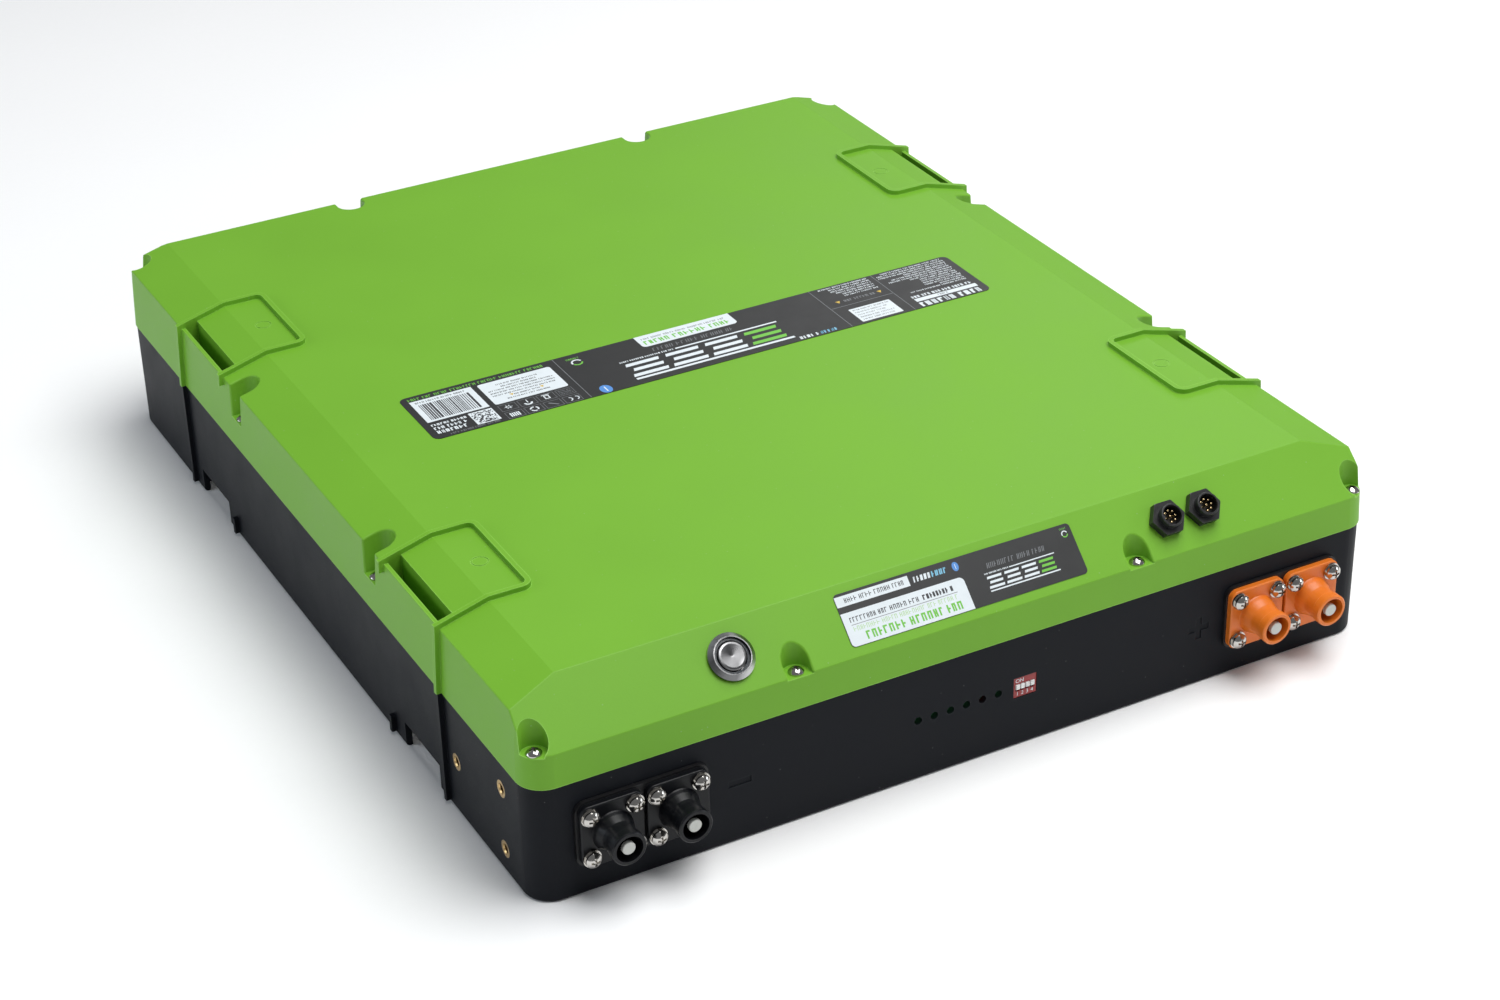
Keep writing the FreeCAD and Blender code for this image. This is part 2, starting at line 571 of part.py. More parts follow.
# ---------------------------------------------------------------- network sockets
def network_sockets():
    """Two panel sockets with a keyed bore and eight pins each."""
    collar = hexagon(HEX_AF, 4.0, 0.4)
    rim = revolved([(0, 0), (11.0, 0), (11.0, 3.0), (8.3, 4.4), (0, 4.4)])
    collar = collar.common(rim)
    sleeve = cyl(SOCKET_R, 7.8, V(0, 0, 0.4))
    tail = cyl(SOCKET_R - 0.2, 12.4, V(0, 0, -12))
    shell = fuse([collar, sleeve, tail])
    shell = soften(shell, 0.4, lambda e: e.BoundBox.ZMin > 8.1)
    shell = shell.cut(cyl(SOCKET_BORE_R, 40, V(0, 0, -20)))
    key = box(-SOCKET_BORE_R - 0.1, -SOCKET_BORE_R + 0.6, -0.6, 0.6, 2.0, 8.0)
    insert = cyl(SOCKET_BORE_R, 13.5, V(0, 0, -11.5))
    spots = [V(0, 0, 0)]
    for i in range(7):
        a = math.radians(205 - 20 - 47 * i)
        spots.append(V(2.75 * math.cos(a), 2.75 * math.sin(a), 0))
    insert = insert.cut([cyl(0.5, 40, s + V(0, 0, -20)) for s in spots])
    pin = soften(cyl(0.5, 19.5, V(0, 0, -13.5)), 0.25, lambda e: e.BoundBox.ZMin > 5.9)
    nut = hexagon(HEX_AF - 0.6, 3.0, -WALL - 3.2).cut(cyl(SOCKET_R, 20, V(0, 0, -WALL - 9)))
    seal = ring(6.8, SOCKET_R, 0.4)
    shells, inserts, pins, nuts, seals = [], [], [], [], []
    for x in SOCKET_X:
        shells.append(on_slope(fuse([shell, key.common(cyl(SOCKET_BORE_R + 0.01, 20))]), x))
        inserts.append(on_slope(insert, x))
        pins += [on_slope(pin.translated(s), x) for s in spots]
        nuts.append(on_slope(nut, x))
        seals.append(on_slope(seal, x))
    save("network_socket_shells", shells)
    save("network_socket_inserts", inserts)
    save("network_socket_pins", pins)
    save("network_socket_nuts", nuts)
    save("network_socket_seals", seals)


# ---------------------------------------------------------------- indicators and switch
BOARD_Z = -8.0


def indicators():
    """The board behind the front wall with its lamps; local z = 0 is the wall's outer face."""
    board = box(-40, 40, -14, 14, BOARD_Z - 1.6, BOARD_Z)
    lamp = fuse([
        cyl(1.5, 3.4, V(0, 0, BOARD_Z)),
        Part.makeSphere(1.5, V(0, 0, BOARD_Z + 3.4)).common(cyl(1.5, 2, V(0, 0, BOARD_Z + 3.4))),
        cyl(1.8, 0.8, V(0, 0, BOARD_Z))])
    green, red = [], []
    for i in range(6):
        target = red if i == FAULT_LED else green
        target.append(on_front(lamp, LED_X0 + i * LED_PITCH, LED_Z))
    save("indicator_board", on_front(board, 0, LED_Z))
    save("charge_leds_green", green)
    save("fault_led_red", red)


def slider_x(i):
    return (i - 1.5) * DIP_PITCH


def dip_switch():
    """A four-way slide switch, its face just behind the wall's outer face."""
    face = -0.4
    slot_w, slot_h = 2.2, 3.7
    low, high = DIP_SLOT_MID - slot_h / 2, DIP_SLOT_MID + slot_h / 2
    body = box(-DIP_W / 2, DIP_W / 2, -DIP_H / 2, DIP_H / 2, BOARD_Z, face)
    slots = [box(slider_x(i) - slot_w / 2, slider_x(i) + slot_w / 2,
                 low, high, face - 4, face + 1) for i in range(4)]
    save("dip_switch_body", on_front(body.cut(slots), DIP_X, DIP_Z))
    half_w = slot_w / 2 - 0.12
    top = high - 0.12
    height = slot_h - 0.24 - DIP_TRAVEL - 0.1
    for i in range(4):
        x = slider_x(i)
        slider = box(x - half_w, x + half_w, top - height, top, face - 3.8, face + 0.7)
        slider = soften(slider, 0.25, lambda e: e.BoundBox.ZMin > face + 0.6)
        save("dip_slider_%d" % (i + 1), on_front(slider, DIP_X, DIP_Z))


# ---------------------------------------------------------------- cells and conductors
def cell_row_y(row):
    """The y range of a row of cells; row 0 is in front."""
    back = CELL_BACK_Y - (1 - row) * (CELL_L + CELL_GAP_Y)
    return back - CELL_L, back


def cells():
    """Four cells lying on their broad faces, posts facing the gap between the rows."""
    number = 1
    nuts = []
    for sx in (-1, 1):
        for row in (0, 1):
            y0, y1 = cell_row_y(row)
            x0, x1 = sorted((sx * CELL_GAP_X / 2, sx * (CELL_GAP_X / 2 + CELL_W)))
            can = box(x0, x1, y0, y1, CELL_Z, CELL_Z + CELL_H)
            can = soften(can, 2.0, lambda e: abs(e.BoundBox.YMax - e.BoundBox.YMin) > CELL_L - 1)
            out = V(0, 1 if row == 0 else -1, 0)
            face_y = y1 if row == 0 else y0
            posts = []
            for offset in (-POST_OFFSET, POST_OFFSET):
                at = V((x0 + x1) / 2 + offset, face_y, CELL_Z + CELL_H / 2)
                posts.append(cyl(9.0, 1.0, at, out))
                posts.append(cyl(3.0, 5.4, at, out))
                nut = cyl(5.0, 1.8, at + out * 3.4, out)
                nuts.append(nut.cut(cyl(3.0, 9, at, out)))
            save("cell_%d" % number, fuse([can] + posts))
            number += 1
    save("cell_terminal_nuts", nuts)


def conductors():
    """Series links, main busbars, terminal busbars and the fuse."""
    front_face = cell_row_y(0)[1]
    back_face = cell_row_y(1)[0]
    middle = (CELL_GAP_X + CELL_W) / 2
    inner, outer = middle - POST_OFFSET, middle + POST_OFFSET
    mid_z = CELL_Z + CELL_H / 2
    front_bolts = [cyl(3.05, 9, V(sx * x, front_face, mid_z), V(0, 1, 0))
                   for sx in (-1, 1) for x in (inner, outer)]
    back_bolts = [cyl(3.05, 9, V(sx * x, back_face, mid_z), V(0, -1, 0))
                  for sx in (-1, 1) for x in (inner, outer)]
    near = (front_face + 1.0, front_face + 3.4)
    far = (back_face - 3.4, back_face - 1.0)
    links = []
    for sx in (-1, 1):
        x0, x1 = sorted((sx * (outer - 9), sx * (outer + 9)))
        z0, z1 = mid_z - 9, mid_z + 24
        web = box(x0, x1, near[0], far[1], z1 - 2.4, z1)
        link = fuse([box(x0, x1, *near, z0, z1), box(x0, x1, *far, z0, z1), web])
        links.append(link.cut(front_bolts + back_bolts))
    cross = box(-inner - 9, inner + 9, *far, mid_z - 9, mid_z + 9)
    links.append(cross.cut(back_bolts))
    save("series_links", links)

    rail_z = CELL_Z + CELL_H + 1.0
    for sx, name, drop_z in ((1, "positive_main_busbar", ARM_Z), (-1, "negative_main_busbar", BOARD_TOP)):
        x0, x1 = sorted((sx * (inner - 9), sx * (inner + 9)))
        riser = box(x0, x1, *near, mid_z - 9, rail_z + 2.4)
        rail = box(x0, x1, DROP_Y, near[1], rail_z, rail_z + 2.4)
        drop = box(x0, x1, DROP_Y - 2.4, DROP_Y, drop_z, rail_z + 2.4)
        save(name, fuse([riser, rail, drop]).cut(front_bolts))
    terminal_busbars()


def terminal_busbars():
    """A plate across each pair of studs with an arm to the board or the fuse."""
    stud_y = FLANGE_Y + 12.0
    low, high = TERMINAL_Z - 9, TERMINAL_Z + 9
    arm_y0, arm_y1 = DROP_Y - 19, DROP_Y - 7
    for sx, name in ((1, "positive_terminal_busbar"), (-1, "negative_terminal_busbar")):
        x0, x1 = sorted((sx * (TERMINAL_X[0] - 12), sx * (TERMINAL_X[1] + 10)))
        plate = box(x0, x1, stud_y, stud_y + 2.5, low, high)
        tab_x0, tab_x1 = sorted((sx * (TERMINAL_X[0] - 12), sx * (TERMINAL_X[0] + 8)))
        tab = box(tab_x0, tab_x1, stud_y, stud_y + 2.5, low, ARM_Z)
        foot = box(tab_x0, tab_x1, stud_y, arm_y1, ARM_Z - 2.5, ARM_Z)
        arm_x0, arm_x1 = sorted((sx * ARM_X, sx * (TERMINAL_X[0] + 8)))
        pieces = [plate, tab, foot, box(arm_x0, arm_x1, arm_y0, arm_y1, ARM_Z - 2.5, ARM_Z)]
        if sx < 0:
            pieces.append(box(-ARM_X, -ARM_X + 2.5, arm_y0, arm_y1, BOARD_TOP, ARM_Z))
        studs = [cyl(STUD_R, 30, V(sx * x, stud_y - 9, TERMINAL_Z), V(0, 1, 0)) for x in TERMINAL_X]
        save(name, fuse(pieces).cut(studs))
    block = box(44, ARM_X - 4, arm_y0 - 4, arm_y1 + 4, ARM_Z, ARM_Z + 10)
    block = soften(block, 1.5, lambda e: True)
    blades = [box(ARM_X - 4, ARM_X + 22, arm_y0, arm_y1, ARM_Z, ARM_Z + 2.5),
              box(20, 44, arm_y0, DROP_Y - 2.4, ARM_Z, ARM_Z + 2.5)]
    save("main_fuse", fuse([block] + blades))


def padding():
    width = CELL_GAP_X / 2 + CELL_W
    y0, y1 = cell_row_y(0)[0], cell_row_y(1)[1]
    gap = CELL_GAP_X / 2 - 0.2
    front_end = cell_row_y(0)[1]
    back_start = cell_row_y(1)[0]
    sheets = [box(-gap, gap, y0, front_end, CELL_Z, CELL_Z + CELL_H),
              box(-gap, gap, back_start, y1, CELL_Z, CELL_Z + CELL_H)]
    save("cell_spacer_sheets", sheets)
    save("cell_bottom_pad", box(-width, width, y0, y1, FLOOR, CELL_Z))
    top = CELL_Z + CELL_H + 5.0
    pad_top = TOP_Z - WALL
    save("cell_top_pad", box(-150, 150, y0 + 12, y1 - 6, top, pad_top))


# ---------------------------------------------------------------- management board
def management_board():
    board_z = BOARD_TOP - 1.6
    x_half, y0, y1 = 100, -238, -192
    posts = [(sx * (x_half - 5), y) for sx in (-1, 1) for y in (y0 + 5, y1 - 5)]
    holes = [cyl(1.6, 9, V(x, y, board_z - 3)) for x, y in posts]
    save("bms_board", box(-x_half, x_half, y0, y1, board_z, board_z + 1.6).cut(holes))
    stand = hexagon(6.0, board_z - FLOOR)
    stands = [stand.translated(V(x, y, FLOOR)).cut(cyl(1.5, 9, V(x, y, board_z - 9))) for x, y in posts]
    save("bms_standoffs", stands)
    screw = pan_screw(2.8, 1.8, 1.5, 7.0)
    save("bms_screws", [screw.translated(V(x, y, BOARD_TOP)) for x, y in posts])
    chips = [box(-80 + 20 * i, -68 + 20 * i, -217, -206, BOARD_TOP, BOARD_TOP + 4) for i in range(5)]
    save("bms_mosfets", chips)
    fins = [box(-84, 28, -219 + 3.6 * i, -217.4 + 3.6 * i, BOARD_TOP + 4, BOARD_TOP + 11.5) for i in range(5)]
    plate = box(-84, 28, -219, -203, BOARD_TOP + 4, BOARD_TOP + 5.8)
    save("bms_heatsink", fuse([plate] + fins))
    save("wireless_module", box(40, 62, -236, -222, BOARD_TOP, BOARD_TOP + 2.8))


# ---------------------------------------------------------------- labels
def labels():
    top = round_prism(153.3, 22.5, 3.5, TOP_Z, TOP_Z + 0.25)
    save("top_label", top)
    front = round_prism(60.1, 12.1, 2.0, 0, 0.25)
    save("front_label", on_slope(front, 0))


save("base_tray", base_tray())
save("lid_cover", lid_cover())
save("lid_gasket", lid_gasket())
case_fasteners()
terminals()
power_button()
network_sockets()
indicators()
dip_switch()
cells()
conductors()
padding()
management_board()
labels()
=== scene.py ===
import json
import math
import random

import bmesh
import bpy
from mathutils import Matrix, Vector


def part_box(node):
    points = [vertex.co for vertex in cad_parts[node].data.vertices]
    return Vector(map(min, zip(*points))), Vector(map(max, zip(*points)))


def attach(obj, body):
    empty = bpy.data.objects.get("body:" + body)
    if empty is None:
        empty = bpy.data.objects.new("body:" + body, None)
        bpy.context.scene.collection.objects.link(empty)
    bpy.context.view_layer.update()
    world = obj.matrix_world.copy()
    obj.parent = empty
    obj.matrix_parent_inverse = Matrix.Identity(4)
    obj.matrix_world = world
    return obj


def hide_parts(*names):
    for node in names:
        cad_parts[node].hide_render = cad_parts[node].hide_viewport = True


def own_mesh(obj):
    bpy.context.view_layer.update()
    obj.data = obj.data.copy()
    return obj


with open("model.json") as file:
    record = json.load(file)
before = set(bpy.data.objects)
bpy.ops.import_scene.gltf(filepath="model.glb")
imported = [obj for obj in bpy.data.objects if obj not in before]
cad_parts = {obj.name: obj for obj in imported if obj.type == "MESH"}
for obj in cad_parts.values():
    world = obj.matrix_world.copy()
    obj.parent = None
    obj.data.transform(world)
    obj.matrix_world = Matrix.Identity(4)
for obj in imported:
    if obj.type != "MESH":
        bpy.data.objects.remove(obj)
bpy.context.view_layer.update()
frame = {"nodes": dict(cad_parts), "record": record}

MM = 0.001
rng = random.Random(4)
nodes = frame["nodes"]

# What every finish shares
COAT_ROUGHNESS = 0.12
PATCH_SHARE, GRAIN_SHARE = 0.55, 0.45
BUMP_PER_GRAIN = 0.25
# Painted highlight and shade on turned metal: the colour stays full in two bright wedges and falls to
# this share of it between them.
PAINTED_WEDGE_SHADE = 0.30
PAINTED_WEDGE_RANGE = (0.35, 0.92)
DUST_COLOUR = (0.5, 0.5, 0.48)
DUST_SPACING_MM, DUST_COVER = 7.0, 0.05
# Lighter colour on sharp edges: edge wear, and on the lid partly a painted edge highlight.
WEAR_AND_HIGHLIGHT_EDGE_MM, WEAR_POLISH = 0.7, 0.08
WEAR_AND_HIGHLIGHT_RANGE, WEAR_AND_HIGHLIGHT_PATCHES = (0.86, 0.985), (0.35, 1.0)
GRAIN_DETAIL, SCRATCH_DETAIL = 3.0, 4.0
SCRATCH_MM, SCRATCH_STRETCH = 3.0, (1.0, 14.0, 5.0)
GLOW_STRENGTH = 1.5


# ---------------------------------------------------------------- node helpers
def link(tree, out, target):
    tree.links.new(out, target)


def add(tree, kind, **inputs):
    """A shader node with some of its inputs set by name."""
    node = tree.nodes.new(kind)
    for name, value in inputs.items():
        node.inputs[name.replace("_", " ")].default_value = value
    return node


def math_node(tree, operation, a, b=None):
    node = tree.nodes.new("ShaderNodeMath")
    node.operation = operation
    for socket, value in zip(node.inputs, (a, b)):
        if isinstance(value, bpy.types.NodeSocket):
            link(tree, value, socket)
        elif value is not None:
            socket.default_value = value
    return node.outputs[0]


def vector_node(tree, operation, *values):
    """Vector maths on constants or sockets."""
    node = tree.nodes.new("ShaderNodeVectorMath")
    node.operation = operation
    for socket, value in zip(node.inputs, values):
        if isinstance(value, bpy.types.NodeSocket):
            link(tree, value, socket)
        else:
            socket.default_value = value
    return node


def spread(tree, source, low, high, from_low=0.3, from_high=0.7):
    """Maps a value to the range low to high."""
    node = tree.nodes.new("ShaderNodeMapRange")
    link(tree, source, node.inputs["Value"])
    limits = {"From Min": from_low, "From Max": from_high, "To Min": low, "To Max": high}
    for name, value in limits.items():
        node.inputs[name].default_value = value
    return node.outputs["Result"]


def noise(tree, place, size_mm, detail, stretch=None):
    """Noise whose features are about size_mm across."""
    if stretch:
        scaled = tree.nodes.new("ShaderNodeMapping")
        scaled.inputs["Scale"].default_value = stretch
        link(tree, place, scaled.inputs["Vector"])
        place = scaled.outputs["Vector"]
    node = add(tree, "ShaderNodeTexNoise", Scale=1 / (size_mm * MM), Detail=detail)
    link(tree, place, node.inputs["Vector"])
    return node.outputs["Fac"]


def speckle(tree, place, size_mm, threshold):
    """Sparse small spots, 1 inside and 0 outside."""
    cells = add(tree, "ShaderNodeTexVoronoi", Scale=1 / (size_mm * MM))
    link(tree, place, cells.inputs["Vector"])
    return spread(tree, cells.outputs["Distance"], 1.0, 0.0, threshold * 0.5, threshold)


def blend(tree, share, first, second):
    """Colour mix; each side is a colour or a socket."""
    node = tree.nodes.new("ShaderNodeMix")
    node.data_type = "RGBA"
    link(tree, share, node.inputs["Factor"])
    for name, value in (("A", first), ("B", second)):
        socket = next(s for s in node.inputs if s.name == name and s.type == "RGBA")
        if isinstance(value, bpy.types.NodeSocket):
            link(tree, value, socket)
        else:
            socket.default_value = (*value, 1.0)
    return next(s for s in node.outputs if s.type == "RGBA")


def shade(colour, factor):
    return tuple(min(1.0, c * factor) for c in colour)


def edge_mask(tree, radius_mm):
    """1 on sharp outer edges and 0 on flat faces."""
    bevel = tree.nodes.new("ShaderNodeBevel")
    bevel.samples = 3
    bevel.inputs["Radius"].default_value = radius_mm * MM
    geometry = tree.nodes.new("ShaderNodeNewGeometry")
    dot = vector_node(tree, "DOT_PRODUCT", bevel.outputs["Normal"], geometry.outputs["Normal"])
    return spread(tree, dot.outputs["Value"], 1.0, 0.0, *WEAR_AND_HIGHLIGHT_RANGE)


def surface(name, colour, rough, metallic=0.0, specular=0.5, coat=0.0, tint=0.10, patch_mm=30.0,
            grain_mm=0.5, grain=0.12, rough_spread=0.06, wear_and_highlight=None, dust=0.0, scratches=0.0,
            anisotropic=0.0, axis=None, painted_wedges_across=None, glow=None):
    """A procedural finish: patchy tint and grain, with edge wear (on the lid partly a painted edge
    highlight), dust, scratches and painted highlight wedges where asked for.
    """
    mat = bpy.data.materials.new(name)
    mat.use_nodes = True
    tree = mat.node_tree
    shader = tree.nodes["Principled BSDF"]
    shader.inputs["Metallic"].default_value = metallic
    shader.inputs["Specular IOR Level"].default_value = specular
    shader.inputs["Coat Weight"].default_value = coat
    shader.inputs["Coat Roughness"].default_value = COAT_ROUGHNESS
    shader.inputs["Anisotropic"].default_value = anisotropic
    place = tree.nodes.new("ShaderNodeTexCoord").outputs["Object"]
    patches = noise(tree, place, patch_mm, GRAIN_DETAIL)
    grains = noise(tree, place, grain_mm, GRAIN_DETAIL)
    patch_part = math_node(tree, "MULTIPLY", patches, PATCH_SHARE)
    grain_part = math_node(tree, "MULTIPLY", grains, GRAIN_SHARE)
    share = math_node(tree, "ADD", patch_part, grain_part)
    tinted = spread(tree, share, 0.0, 1.0)
    painted = blend(tree, tinted, shade(colour, 1 - tint), shade(colour, 1 + tint))
    rough_value = spread(tree, share, rough - rough_spread, rough + rough_spread)
    # Painted highlight and shade: two bright wedges along the given direction, the colour darkened
    # between them.
    if painted_wedges_across:
        painted_highlight = painted_highlight_wedges(tree, place, axis[0], painted_wedges_across)
        painted = blend(tree, painted_highlight, shade(colour, PAINTED_WEDGE_SHADE), painted)
    if dust:
        spots = math_node(tree, "MULTIPLY", speckle(tree, place, DUST_SPACING_MM, DUST_COVER), dust)
        painted = blend(tree, spots, painted, DUST_COLOUR)
    # Lighter colour on sharp edges: edge wear, and on the lid partly a painted edge highlight.
    if wear_and_highlight:
        edges = edge_mask(tree, WEAR_AND_HIGHLIGHT_EDGE_MM)
        worn_and_highlit = math_node(tree, "MULTIPLY", edges, spread(tree, patches, *WEAR_AND_HIGHLIGHT_PATCHES))
        painted = blend(tree, worn_and_highlit, painted, wear_and_highlight)
        polish = math_node(tree, "MULTIPLY", worn_and_highlit, WEAR_POLISH)
        rough_value = math_node(tree, "SUBTRACT", rough_value, polish)
    height = grains
    if scratches:
        lines = noise(tree, place, SCRATCH_MM, SCRATCH_DETAIL, stretch=SCRATCH_STRETCH)
        height = math_node(tree, "ADD", height, math_node(tree, "MULTIPLY", lines, scratches))
    if glow:
        shader.inputs["Emission Color"].default_value = (*glow, 1.0)
        shader.inputs["Emission Strength"].default_value = GLOW_STRENGTH
    link(tree, painted, shader.inputs["Base Color"])
    link(tree, rough_value, shader.inputs["Roughness"])
    bump = add(tree, "ShaderNodeBump", Strength=grain, Distance=grain_mm * BUMP_PER_GRAIN * MM)
    link(tree, height, bump.inputs["Height"])
    link(tree, bump.outputs["Normal"], shader.inputs["Normal"])
    if axis:
        link(tree, turned_tangent(tree, place, *axis), shader.inputs["Tangent"])
    return mat


def painted_highlight_wedges(tree, place, centre, across):
    """Painted highlight of a face turned on a lathe: two opposite bright wedges, 1 along the direction
    given.
    """
    offset = vector_node(tree, "SUBTRACT", place, centre).outputs["Vector"]
    unit = vector_node(tree, "NORMALIZE", offset).outputs["Vector"]
    dot = vector_node(tree, "DOT_PRODUCT", unit, across).outputs["Value"]
    square = math_node(tree, "POWER", math_node(tree, "ABSOLUTE", dot), 2.0)
    return spread(tree, square, 0.0, 1.0, *PAINTED_WEDGE_RANGE)


def turned_tangent(tree, place, centre, direction):
    """Tangents that run round an axis, for turned metal."""
    offset = vector_node(tree, "SUBTRACT", place, centre).outputs["Vector"]
    cross = vector_node(tree, "CROSS_PRODUCT", direction, offset).outputs["Vector"]
    return vector_node(tree, "NORMALIZE", cross).outputs["Vector"]


# ---------------------------------------------------------------- places taken from the frame
def middle(node):
    low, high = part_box(node)
    return (low + high) / 2


def slope_frame():
    """Centre and axes of the front label's face: right, up the slope, and outward."""
    mesh = nodes["front_label"].data
    tilt = 0.1
    face = max(mesh.polygons, key=lambda p: p.area * (p.normal.z > tilt) * (p.normal.y < -tilt))
    outward = face.normal.copy()
    right = Vector((1, 0, 0))
    up = outward.cross(right).normalized()
    top = max(v.co.dot(outward) for v in mesh.vertices)
    centre = middle("front_label")
    return centre + outward * (top - centre.dot(outward)), right, up, outward


SLOPE_CENTRE, SLOPE_RIGHT, SLOPE_UP, SLOPE_OUT = slope_frame()
BUTTON_AXIS_AT = middle("power_button_cap")

# ---------------------------------------------------------------- finishes
GREEN = (0.162, 0.402, 0.027)
BLACK = (0.0058, 0.0070, 0.0100)
ORANGE = (0.74, 0.172, 0.014)
CHROME = (0.56, 0.54, 0.51)

FINISHES = {
    # The lid's lighter green on its sharp edges is partly edge wear and partly a painted edge highlight
    # for the catch-light on its ribs and ridges.
    "lid_green": dict(
        colour=GREEN, rough=0.46, specular=0.26, tint=0.035, patch_mm=60, grain_mm=0.55,
        grain=0.22, wear_and_highlight=(0.36, 0.70, 0.14), dust=0.25),
    "base_black": dict(
        colour=BLACK, rough=0.50, specular=0.12, tint=0.16, patch_mm=25, grain_mm=0.45,
        grain=0.40, wear_and_highlight=(0.03, 0.034, 0.038), dust=0.12),
    "terminal_orange": dict(
        colour=ORANGE, rough=0.36, specular=0.45, tint=0.06, patch_mm=6, grain_mm=0.35,
        grain=0.14, wear_and_highlight=(0.88, 0.27, 0.05)),
    "terminal_black": dict(
        colour=(0.0045, 0.005, 0.0065), rough=0.34, specular=0.24, tint=0.15, patch_mm=6,
        grain_mm=0.35, grain=0.14, wear_and_highlight=(0.03, 0.03, 0.034)),
    "seal_black": dict(
        colour=(0.008, 0.008, 0.009), rough=0.42, specular=0.4, tint=0.2, patch_mm=4,
        grain_mm=0.3, grain=0.2),
    "screw_chrome": dict(
        colour=CHROME, rough=0.13, metallic=1.0, tint=0.05, patch_mm=2, grain_mm=0.25,
        grain=0.05, rough_spread=0.05, scratches=0.4),
    "insert_brass": dict(
        colour=(0.56, 0.38, 0.17), rough=0.30, metallic=1.0, tint=0.12, patch_mm=2, grain_mm=0.3,
        grain=0.12, scratches=0.5),
    "pin_metal": dict(
        colour=(0.72, 0.70, 0.66), rough=0.24, metallic=1.0, tint=0.08, patch_mm=2, grain_mm=0.3,
        grain=0.08, scratches=0.4),
    "pin_cap_grey": dict(
        colour=(0.56, 0.57, 0.53), rough=0.42, tint=0.05, patch_mm=2, grain_mm=0.3, grain=0.12),
    # The button cap's bright wedges are a painted highlight, laid over its real anisotropic reflection.
    "button_steel": dict(
        colour=(0.60, 0.60, 0.61), rough=0.30, metallic=1.0, tint=0.05, patch_mm=3, grain_mm=0.2,
        grain=0.03, anisotropic=0.8, axis=(BUTTON_AXIS_AT, SLOPE_OUT),
        painted_wedges_across=SLOPE_RIGHT * 0.64 - SLOPE_UP * 0.77),
    "button_ring": dict(
        colour=(0.035, 0.042, 0.05), rough=0.16, specular=0.5, coat=0.6, tint=0.1, patch_mm=2,
        grain_mm=0.3, grain=0.05),
    "spring_steel": dict(
        colour=(0.5, 0.5, 0.5), rough=0.3, metallic=1.0, tint=0.1, patch_mm=1, grain_mm=0.2),
    "copper": dict(
        colour=(0.78, 0.36, 0.22), rough=0.28, metallic=1.0, tint=0.14, patch_mm=14,
        grain_mm=0.5, grain=0.1, scratches=0.6),
    "cell_blue": dict(
        colour=(0.03, 0.13, 0.40), rough=0.34, specular=0.5, coat=0.3, tint=0.10, patch_mm=40,
        grain_mm=1.2, grain=0.1),
    "foam_grey": dict(
        colour=(0.14, 0.14, 0.145), rough=0.85, specular=0.2, tint=0.2, patch_mm=8, grain_mm=1.0,
        grain=0.7),
    "board_green": dict(
        colour=(0.012, 0.12, 0.045), rough=0.32, coat=0.3, tint=0.15, patch_mm=8, grain_mm=0.6,
        grain=0.1),
    "heatsink_aluminium": dict(
        colour=(0.55, 0.56, 0.58), rough=0.38, metallic=1.0, tint=0.06, patch_mm=12,
        grain_mm=0.3, grain=0.1, scratches=0.7),
    "chip_black": dict(
        colour=(0.022, 0.022, 0.023), rough=0.55, tint=0.2, patch_mm=3, grain_mm=0.3, grain=0.3),
    "lamp_green": dict(
        colour=(0.10, 0.36, 0.16), rough=0.20, coat=0.6, tint=0.15, patch_mm=1.2, grain_mm=0.4,
        grain=0.08, glow=(0.10, 0.42, 0.16)),
    "lamp_red": dict(
        colour=(0.22, 0.03, 0.035), rough=0.20, coat=0.6, tint=0.15, patch_mm=1.2, grain_mm=0.4,
        grain=0.08, glow=(0.16, 0.02, 0.02)),
    "switch_red": dict(
        colour=(0.30, 0.032, 0.032), rough=0.44, tint=0.10, patch_mm=3, grain_mm=0.25,
        grain=0.15),
    "switch_white": dict(
        colour=(0.80, 0.81, 0.80), rough=0.40, tint=0.05, patch_mm=1.5, grain_mm=0.25,
        grain=0.12),
    "socket_black": dict(
        colour=(0.011, 0.011, 0.0115), rough=0.38, specular=0.42, tint=0.2, patch_mm=5,
        grain_mm=0.3, grain=0.18, wear_and_highlight=(0.045, 0.045, 0.05)),
    "pin_gold": dict(
        colour=(0.95, 0.72, 0.38), rough=0.16, metallic=1.0, tint=0.05, patch_mm=1, grain_mm=0.2,
        grain=0.05),
    "label_print": dict(
        colour=(0.024, 0.0245, 0.025), rough=0.42, specular=0.4, tint=0.10, patch_mm=9,
        grain_mm=0.4, grain=0.10),
    "fuse_grey": dict(
        colour=(0.33, 0.34, 0.35), rough=0.4, tint=0.08, patch_mm=5, grain_mm=0.4, grain=0.15),
}
SLOT_OF = {part["node"]: part["material_slot"] for part in frame["record"]["subparts"]}
MATERIALS = {slot: surface(slot, **finish) for slot, finish in FINISHES.items()}


def finish_cad_nodes():
    for name, node in nodes.items():
        node.data.materials.clear()
        node.data.materials.append(MATERIALS[SLOT_OF[name]])


# ---------------------------------------------------------------- printed labels
INK_COLOURS = {
    "white": (0.70, 0.76, 0.79),
    "grey": (0.17, 0.18, 0.19),
    "green": (0.16, 0.50, 0.06),
    "pale_green": (0.42, 0.62, 0.32),
    "blue": (0.09, 0.26, 0.62),
    "sky": (0.20, 0.50, 0.68),
    "dark": (0.045, 0.045, 0.05),
    "amber": (0.62, 0.42, 0.06),
}
INK_STEP = 0.02
INK_SINK = 0.005
CORNER_STEPS = 6
ARC_STEP = 12
LETTER_WIDTHS = (0.42, 0.62)
LETTER_GAP, WORD_GAP = 0.24, 0.40
WORD_LETTERS = (3, 8)
BAR_WIDTHS, BAR_GAPS = (0.4, 0.5, 0.8, 1.2), (0.35, 0.5, 0.7)
CELL_FILL = 0.96


